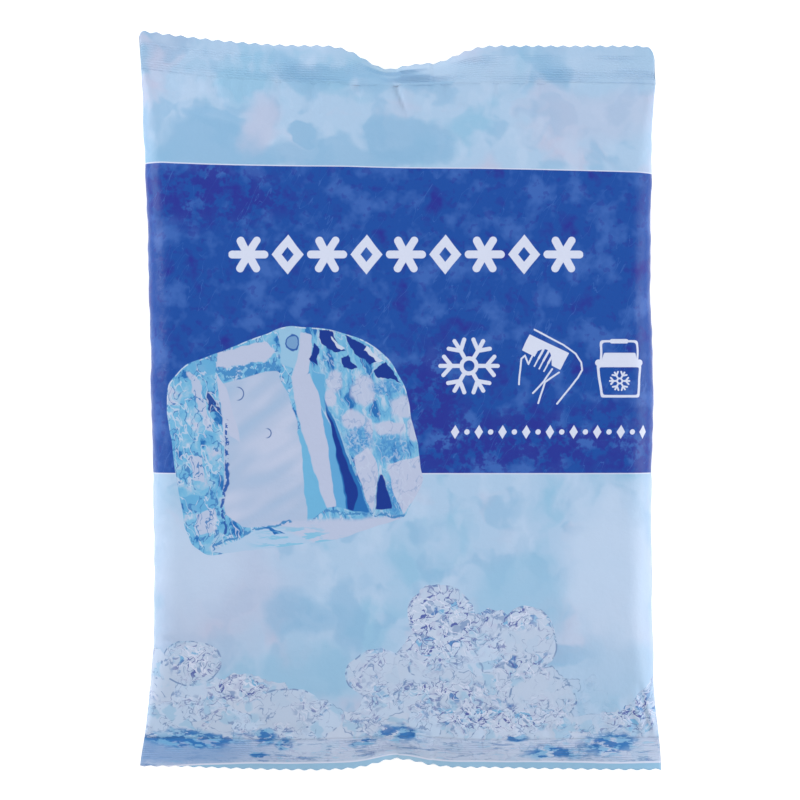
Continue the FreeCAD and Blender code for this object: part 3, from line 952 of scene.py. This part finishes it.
ice = paint(ice, ink(90, 104, 168), hairs(rising, 2.4, 34, 0.03, 0.6) * fine)
falling = turned(heap_place, (0.0, 0.0), -40.0, (2.2, 1.0))
ice = paint(ice, WHITE, hairs(falling, 2.4, 35, 0.03, 0.6) * fine * 0.9)
colour = paint(colour, ice, heap)

# The foot seal has the same ice drawn out sideways by the crimping, with deep blue streaks. Below a thin
# white line, which runs into the cut at the left, the film is plain pale blue.
FOOT_SPOTS = [((-68.0, -111.5), (17.0, 3.6)), ((-44.0, -110.0), (3.6, 3.4)), ((-37.5, -113.0), (3.0, 2.2)),
              ((0.0, -110.0), (8.0, 3.4)), ((-12.0, -113.5), (4.0, 1.4)), ((50.0, -116.5), (9.0, 2.4)),
              ((68.0, -113.0), (9.0, 4.0)), ((38.0, -110.5), (3.6, 1.6)), ((-46.0, -117.0), (3.0, 1.6))]
streak = cloudy(flat, 1.8, 12, 4.0, 0.65, (5.0, 1.0))
streaks = shades(streak, [(0.27, AZURE), (0.34, SHADE), (0.38, SHADE), (0.44, LUMP), (0.6, LILAC),
                          (0.7, CYAN)])
in_foot = flat.parts()[1].spread(-111.5, -110.0, 1.0, 0.0)
colour = paint(colour, streaks, in_foot * 0.65)
low_corner = patch(heap_place, (-76.0, -116.0), (30.0, 7.0), 0.5)
colour = paint(colour, ink(124, 158, 204), low_corner * in_foot * 0.8)
spots = patch(heap_place, *FOOT_SPOTS[0], 0.4)
for middle, reach in FOOT_SPOTS[1:]:
    spots = spots.at_least(patch(heap_place, middle, reach, 0.4))
colour = paint(colour, TURQUOISE, spots * cloudy(flat, 3.0, 36, 3.0, 0.5, (2.0, 1.0)).spread(0.4, 0.5) * 0.7)
colour = paint(colour, AZURE, spots * cloudy(flat, 2.0, 13, 3.0, 0.6, (2.5, 1.0)).spread(0.46, 0.54) * 0.9)
foot_u, foot_v = bent(flat, 30.0, 14, 1.2).parts()
foot_line = foot_v + foot_u.spread(-82.0, -42.0, 123.6, 120.6)
colour = paint(colour, CYAN, foot_line.inside(0.3))
colour = paint(colour, WHITE, (foot_line.size() - 0.35).inside(0.2))

# The deep blue band, with a thin white line along both edges and a darker, blotchy ink.
u, v = flat.parts()
tilt_run = (u - band_turn).at_least(0.0).at_most(100.0)
top_edge = tilt_run.maths("MULTIPLY_ADD", band_tilt, -band_top)
in_band = (v + top_edge).at_least(-(v - band_bottom))
blotch = cloudy(flat, 11.0, 15, 3.0, 0.55)
band_ink = shades(blotch, [(0.32, BAND_LIGHT), (0.5, BAND), (0.6, BAND), (0.76, BAND_DEEP)])
band_ink = paint(band_ink, BAND_DEEP, cloudy(flat, 3.0, 16, 3.0).spread(0.58, 0.68, 0.0, 0.4))
deep = cloudy(flat, 5.0, 28, 3.0, 0.65).spread(0.42, 0.56)
DEEP_SPOTS = [((40.0, -14.0), (48.0, 11.0)), ((-62.0, 66.0), (26.0, 9.0)), ((10.0, 2.0), (9.0, 16.0))]
for middle, reach in DEEP_SPOTS:
    band_ink = paint(band_ink, BAND_DEEP, deep * patch(soft_place, middle, reach, 0.6) * 0.9)
# Thin lighter lines across the band: scratches in the film, painted lighter as a painted glint where they
# catch the light.
scuffs_and_glints = hairs(turned(flat, (0.0, 0.0), 62.0, (5.0, 1.0)), 4.0, 29, 0.008, 0.25)
band_ink = paint(band_ink, BAND_LIGHT, scuffs_and_glints * 0.6)
colour = paint(colour, band_ink, in_band.inside(0.15))
colour = paint(colour, WHITE, (in_band.size() - 0.18).inside(0.15) * 0.9)

# A block of clear ice, tilted, in front of the band. Its front face is smooth, the left one is rough, and
# the right one has deep blue bands, pale petals, and dark splinters in its top corner.
BLOCK = [(-74.8, -3.2), (-74.0, 4.8), (-69.0, 11.3), (-36.0, 23.8), (-23.5, 22.9), (-11.5, 19.4),
         (-3.5, 13.4), (2.0, 4.0), (7.6, -25.4), (1.6, -37.2), (-21.2, -44.8), (-61.6, -49.6),
         (-66.8, -46.0), (-69.0, -39.1)]
LEFT_FACE = [(TURQUOISE, [(-70.0, 12.5), (-58.5, 16.0), (-58.5, 9.0), (-64.0, 6.6)]),
             (TURQUOISE, [(-69.5, -30.6), (-57.7, -30.6), (-58.3, -35.0), (-68.8, -36.9)]),
             (LILAC, [(-67.4, -18.0), (-63.6, -18.0), (-62.2, -26.5), (-66.0, -25.4)]),
             (LILAC, [(-65.1, -37.0), (-58.6, -34.4), (-58.3, -41.6), (-64.2, -42.8)]),
             (NAVY, [(-61.9, 0.4), (-60.6, 3.0), (-56.9, -3.5), (-60.6, -3.8)]),
             (LILAC, [(-68.0, 9.6), (-64.0, 6.5), (-59.7, -10.0), (-62.0, -9.8)])]
RIGHT_FACE = [(-37.0, 30.0), (14.0, 30.0), (14.0, -42.0), (-28.0, -42.0)]
PETALS = [[(-14.9, -18.0), (-10.4, -15.2), (-6.9, -19.7), (-6.7, -26.0), (-8.9, -35.7), (-12.1, -28.3)],
          [(-4.1, -20.3), (1.6, -18.6), (6.4, -17.5), (8.5, -24.9), (1.6, -36.3), (-1.8, -31.1)]]
MID_BLUE, CLEAR_BLUE = ink(112, 178, 218), ink(100, 166, 214)
BANDS_OF_ICE = [(CYAN, [(-39.0, 24.0), (-31.0, 24.0), (-32.5, 9.0), (-38.0, 12.0)]),
                (MID_BLUE, [(-34.2, -12.0), (-31.2, -8.0), (-23.0, -34.6), (-29.2, -39.1), (-32.4, -28.9)]),
                (LILAC, [(-31.5, 21.6), (-28.1, 21.0), (-29.3, 8.0), (-34.8, 6.5)]),
                (TURQUOISE, [(-28.1, 8.8), (-23.5, 8.2), (-23.4, -4.0), (-26.5, 1.0)]),
                (CLEAR_BLUE, [(-25.2, -1.0), (-23.2, -5.0), (-15.5, -34.9), (-20.6, -34.6)]),
                (AZURE, [(-24.0, 1.0), (-14.4, -22.6), (-9.6, -35.9), (-17.0, -34.8)]),
                (NAVY, [(-23.6, -1.5), (-13.2, -30.4), (-14.4, -35.1), (-16.4, -34.8)]),
                (LILAC, [(-34.6, 7.1), (-28.6, 8.2), (-25.4, 1.4), (-20.4, -34.4), (-23.5, -34.9),
                         (-33.2, -4.0)]),
                (NAVY, [(-6.3, -23.5), (-5.4, -23.5), (-2.5, -34.8), (-8.1, -34.8)])]
SPLINTERS = [(NAVY, [(-27.8, 18.2), (-25.8, 16.2), (-26.6, 11.0), (-28.8, 13.1)]),
             (NAVY, [(-25.8, 22.5), (-21.8, 21.9), (-17.8, 15.6), (-20.6, 15.1), (-25.2, 17.9)]),
             (NAVY, [(-17.8, 20.8), (-12.1, 18.2), (-7.2, 12.8), (-9.8, 11.6), (-16.1, 16.2)]),
             (NAVY, [(-19.2, 13.3), (-16.9, 14.5), (-13.8, 9.9), (-17.8, 10.2)]),
             (NAVY, [(-8.1, 9.0), (-5.0, 12.2), (0.4, 5.6), (-6.9, 7.6)]),
             (LUMP_LIGHT, [(-22.1, 19.9), (-20.9, 19.6), (-17.7, 16.5), (-18.9, 15.7)]),
             (LUMP_LIGHT, [(-11.2, 17.3), (-5.6, 12.7), (-6.7, 11.9), (-11.8, 15.9)])]
OVALS = [((-20.6, 5.9), (2.3, 3.6)), ((-22.3, 0.6), (1.8, 3.0)), ((-11.5, 3.1), (3.9, 4.6)),
         ((-14.9, -6.4), (3.6, 2.9)), ((1.4, -2.1), (4.6, 3.6)), ((-3.5, -8.9), (4.8, 2.0)),
         ((-10.1, -9.4), (1.5, 3.6)), ((4.6, -9.0), (2.2, 4.0))]
TUFTS = [((-13.2, -13.2), (4.2, 4.4)), ((-2.4, -15.4), (5.2, 4.4)), ((-2.0, -31.0), (3.4, 6.0)),
         ((-10.5, -33.0), (2.2, 5.0)), ((-4.0, 4.0), (5.0, 2.4))]
FRONT_FACE = [(-57.0, 5.3), (-38.5, 9.8), (-32.8, -7.0), (-29.0, -39.0), (-50.5, -40.8), (-55.6, -36.0)]
block = facet(bent(flat, 9.0, 17, 1.0), BLOCK, 1.6)
block_place = bent(flat, 4.0, 18, 2.2, 2.0)
band_place = bent(flat, 8.0, 21, 1.8, 2.0)
rough = shades(cloudy(block_place, 7.0, 19, 4.0, 0.6),
               [(0.34, AZURE), (0.4, TURQUOISE), (0.52, ink(120, 182, 219)), (0.6, CYAN), (0.7, LILAC)])
grain = turned(block_place, (-10.0, -10.0), -79.0, (4.0, 1.0))
streaked = shades(cloudy(grain, 3.4, 20, 4.0, 0.6),
                  [(0.34, AZURE), (0.4, TURQUOISE), (0.52, ink(124, 184, 220)), (0.58, CYAN), (0.68, LUMP)])
right_face = facet(band_place, RIGHT_FACE)
rough = paint(rough, streaked, right_face.inside(1.5))
for shade, corners in LEFT_FACE:
    rough = paint(rough, shade, facet(block_place, corners, 0.6).inside(0.4) * 0.9)
for middle, reach in OVALS:
    rough = paint(rough, LILAC, patch(block_place, middle, reach, 0.2) * 0.95)
dots = cloudy(flat, 0.9, 37, 1.0).spread(0.42, 0.58, 0.45, 1.0)
for middle, reach in TUFTS:
    rough = paint(rough, ink(84, 148, 204), patch(block_place, middle, reach, 0.35) * dots)
for corners in PETALS:
    rough = paint(rough, LILAC, facet(band_place, corners, 1.2).inside(0.4))
fine_lines = right_face.spread(-6.0, -2.0)
dark_lines = hairs(turned(block_place, (0.0, 0.0), 75.0, (1.8, 1.0)), 3.2, 22, 0.028, 0.6)
rough = paint(rough, ink(74, 128, 188), dark_lines * (fine_lines * 0.6 + 0.3))
pale_lines = hairs(turned(block_place, (0.0, 0.0), 110.0, (2.2, 1.0)), 3.4, 23, 0.028, 0.5)
rough = paint(rough, LUMP_LIGHT, pale_lines * (fine_lines * 0.3 + 0.4))
for shade, corners in BANDS_OF_ICE:
    rough = paint(rough, shade, facet(band_place, corners, 0.8).inside(0.4))
rough = paint(rough, CYAN, stroke(band_place, [(-21.4, -4.5), (-15.6, -20.5)], 0.4).inside(0.3))
TOP_FACE = [(-58.5, 14.8), (-43.0, 19.0), (-40.0, 15.4), (-43.0, 12.4), (-58.6, 10.2)]
top_face = facet(block_place, TOP_FACE, 0.8)
rough = paint(rough, LILAC, top_face.inside(0.5))
under_top = facet(block_place, [(-58.6, 9.6), (-40.0, 13.0), (-38.3, 9.0), (-57.1, 5.6)])
specks = cloudy(flat, 1.8, 39, 2.0, 0.6)
rough = paint(rough, ink(78, 140, 196), under_top.inside(0.6) * specks.spread(0.42, 0.52))
for shade, corners in SPLINTERS:
    rough = paint(rough, shade, facet(block_place, corners, 0.3).inside(0.25))
ring = oval(block_place, (-34.3, 18.4), (1.9, 2.3))
rough = paint(rough, ink(70, 112, 180), ring.spread(0.7, 1.1, 0.5, 0.0))
rough = paint(rough, ink(60, 100, 170), (ring - 1.0).size().spread(0.08, 0.2, 1.0, 0.0))
front_face = facet(band_place, FRONT_FACE, 1.2)
clear = shades(cloudy(turned(flat, (-44.0, -15.0), 32.0, (3.0, 1.0)), 8.0, 24, 1.0),
               [(0.35, ink(163, 187, 218)), (0.5, ink(172, 190, 219)), (0.68, ink(188, 199, 225))])
rough = paint(rough, clear, front_face.inside(0.4))
left_strip = facet(band_place, [(-58.9, 8.6), (-55.4, 4.2), (-50.9, -13.5), (-54.6, -11.2)], 0.5)
rough = paint(rough, LILAC, left_strip.inside(0.3))
left_line = stroke(block_place, [(-55.8, -6.5), (-54.8, -23.0), (-56.6, -33.5), (-55.6, -42.0)], 1.0)
rough = paint(rough, ink(56, 96, 168), left_line.inside(0.4) * specks.spread(0.42, 0.5))
BUBBLES = [((-51.8, 2.0), 2.1), ((-42.6, -10.6), 1.5)]
for middle, radius in BUBBLES:
    bubble = flat.place("DISTANCE", (*middle, 1.0), output="Value") - radius
    rim = (bubble.size() - 0.18).inside(0.2)
    rough = paint(rough, ink(88, 116, 170), rim * (u - middle[0]).spread(-0.6, 0.9))

# Under the block its foot is pale, with a dark line where the faces end and thin turquoise wisps.
ground = facet(band_place, [(-60.0, -48.5), (-43.0, -40.2), (12.0, -37.0), (12.0, -60.0)])
rough = paint(rough, ink(172, 198, 227), ground.inside(0.4))
pale_foot = facet(band_place, [(-42.0, -39.0), (3.0, -37.0), (-2.4, -42.3), (-24.0, -46.5)], 1.0)
rough = paint(rough, LILAC, pale_foot.inside(1.5) * 0.9)
face_ends = stroke(block_place, [(-59.0, -46.4), (-46.0, -41.4), (-35.0, -38.6)], 0.8)
face_ends = face_ends.at_most(stroke(block_place, [(-23.4, -35.6), (-9.2, -36.4), (1.4, -37.2)], 0.9))
rough = paint(rough, ink(76, 136, 192), face_ends.inside(0.4) * specks.spread(0.38, 0.46))
rough = paint(rough, AZURE, facet(block_place, [(-43.6, -39.8), (-36.0, -42.6), (-39.8, -43.0)]).inside(0.3))
wisps = cloudy(flat, 1.4, 27, 2.0, 0.6, (5.0, 1.0)).spread(0.5, 0.6)
rough = paint(rough, ink(134, 190, 222), wisps * patch(flat, (-33.0, -45.0), (13.0, 4.5), 0.4))
colour = paint(colour, rough, block.inside(0.25))
rim = ((block + 0.25).size() - 0.16).inside(0.2)
colour = paint(colour, LUMP_LIGHT, rim * broken * v.spread(-20.0, 0.0))

# White marks on the band. First a row of five stars with four lozenges between them, and a snow crystal.
row_u, row_v = 1.8, 46.6
mark_pitch = 12.6             # from a star to the lozenge beside it
near_u = (u - row_u).maths("WRAP", mark_pitch, -mark_pitch)
star_place = place_of(near_u, v - row_v)
lozenge = (-(near_u.size() - mark_pitch)) * 0.78 + (v - row_v).size() * 0.626
marks = crystal(star_place, (0.0, 0.0), 6.4, 2.5, 0.0, False)
marks = marks.at_most((lozenge - 2.75).size() - 1.25)
marks = marks.at_least((u - row_u).size() - 4.5 * mark_pitch)
marks = marks.at_most(crystal(flat, (22.0, 10.9), 9.8, 1.3, 2.4))

# A cool box with a rim, a lid, a handle with a grip, and a small snow crystal on its side.
BOX_SIDE = [(63.2, 10.9), (77.1, 10.9), (76.2, 1.2), (64.4, 1.2)]
BOX_RIM = [(63.4, 11.9), (76.9, 11.9)]
BOX_LID = [(64.4, 12.6), (75.9, 12.6), (75.2, 15.1), (65.1, 15.1)]
BOX_HANDLE = [(64.2, 8.0), (76.0, 8.0), (76.0, 18.8), (64.2, 18.8)]
BOX_GRIP = [(67.8, 18.8), (72.4, 18.8)]
rim_height = BOX_RIM[0][1] + 0.1
box_side = facet(flat, BOX_SIDE, 1.2)
handle = facet(flat, BOX_HANDLE, 2.0).size() - 0.35
marks = marks.at_most(box_side.size() - 0.4)
marks = marks.at_most(stroke(flat, BOX_RIM, 2.1))
marks = marks.at_most(facet(flat, BOX_LID, 0.6))
marks = marks.at_most(handle.at_least(-(v - rim_height))).at_most(stroke(flat, BOX_GRIP, 1.4))
marks = marks.at_most(crystal(flat, (70.2, 6.1), 3.4, 0.55, 0.8))

# A hand that holds a pack to a limb: the pack less four fingers, with lines between them, and outlines.
PACK_MARK = [(41.4, 21.0), (53.9, 15.0), (51.2, 9.6), (38.8, 15.9)]
HAND_LINES = [[(42.4, 14.6), (41.0, 11.5), (39.8, 14.2), (38.7, 13.2), (38.0, 5.0)],
              [(48.6, 9.9), (46.0, 6.0), (42.4, 2.2)], [(50.8, 8.8), (46.3, 5.7), (44.0, -1.0)],
              [(42.9, 22.5), (52.1, 17.7), (56.0, 14.8), (57.9, 12.0), (58.2, 9.6), (56.9, 7.2),
               (50.0, -1.2)]]
finger_pitch = 1.74
hand_line_width = 0.55
pack_mark = facet(flat, PACK_MARK, 0.4)
hand_place = turned(flat, (46.1, 13.2), 62.6)
reach_u, side_v = hand_place.parts()
near_v = (side_v - finger_pitch / 2).maths("WRAP", finger_pitch / 2, -finger_pitch / 2).size()
finger_tips = reach_u + (side_v - 0.6) * (side_v - 0.6) * 0.28 - 2.9
fingers = (near_v - 0.52).at_least(finger_tips)
fingers = fingers.at_least(side_v.size() - 2 * finger_pitch).at_least(-(reach_u + 3.4))
creases = (-(near_v - 0.64)).at_least(side_v.size() - 1.5 * finger_pitch)
creases = creases.at_least((reach_u + 1.6).size() - 2.2)
marks = marks.at_most(pack_mark.at_least(-fingers).at_most(creases))
for points in HAND_LINES:
    marks = marks.at_most(stroke(flat, points, hand_line_width))

# Last a row of small lozenges and round dots.
small_u, small_v = 47.8, -10.2
dot_pitch = 3.78              # from a lozenge to the dot beside it
dot_radius = 0.85
dot_u = (u - small_u).maths("WRAP", dot_pitch, -dot_pitch).size()
dot_v = (v - small_v).size()
dot = place_of(dot_u - dot_pitch, dot_v).place("DISTANCE", (0.0, 0.0, 1.0), output="Value") - dot_radius
small_marks = (dot_u * 0.85 + dot_v * 0.52 - 1.15).at_most(dot)
marks = marks.at_most(small_marks.at_least((u - small_u).size() - 8.5 * dot_pitch))
colour = paint(colour, WHITE, marks.inside(0.2))
tree.links.new(colour.socket, shader.inputs["Base Color"])

# The film's fine crinkle changes its gloss a little and stands up as bump.
crinkle = cloudy(flat, 7.0, 24, 4.0, 0.6)
tree.links.new(crinkle.spread(0.3, 0.7, 0.29, 0.4).socket, shader.inputs["Roughness"])
bump = tree.nodes.new("ShaderNodeBump")
bump.inputs["Strength"].default_value = 0.5
bump.inputs["Distance"].default_value = 0.0006
tree.links.new(crinkle.socket, bump.inputs["Height"])
tree.links.new(bump.outputs[0], shader.inputs["Normal"])
for piece in (pouch, top_seal, bottom_seal, back_seam):
    piece.data.materials.append(film)
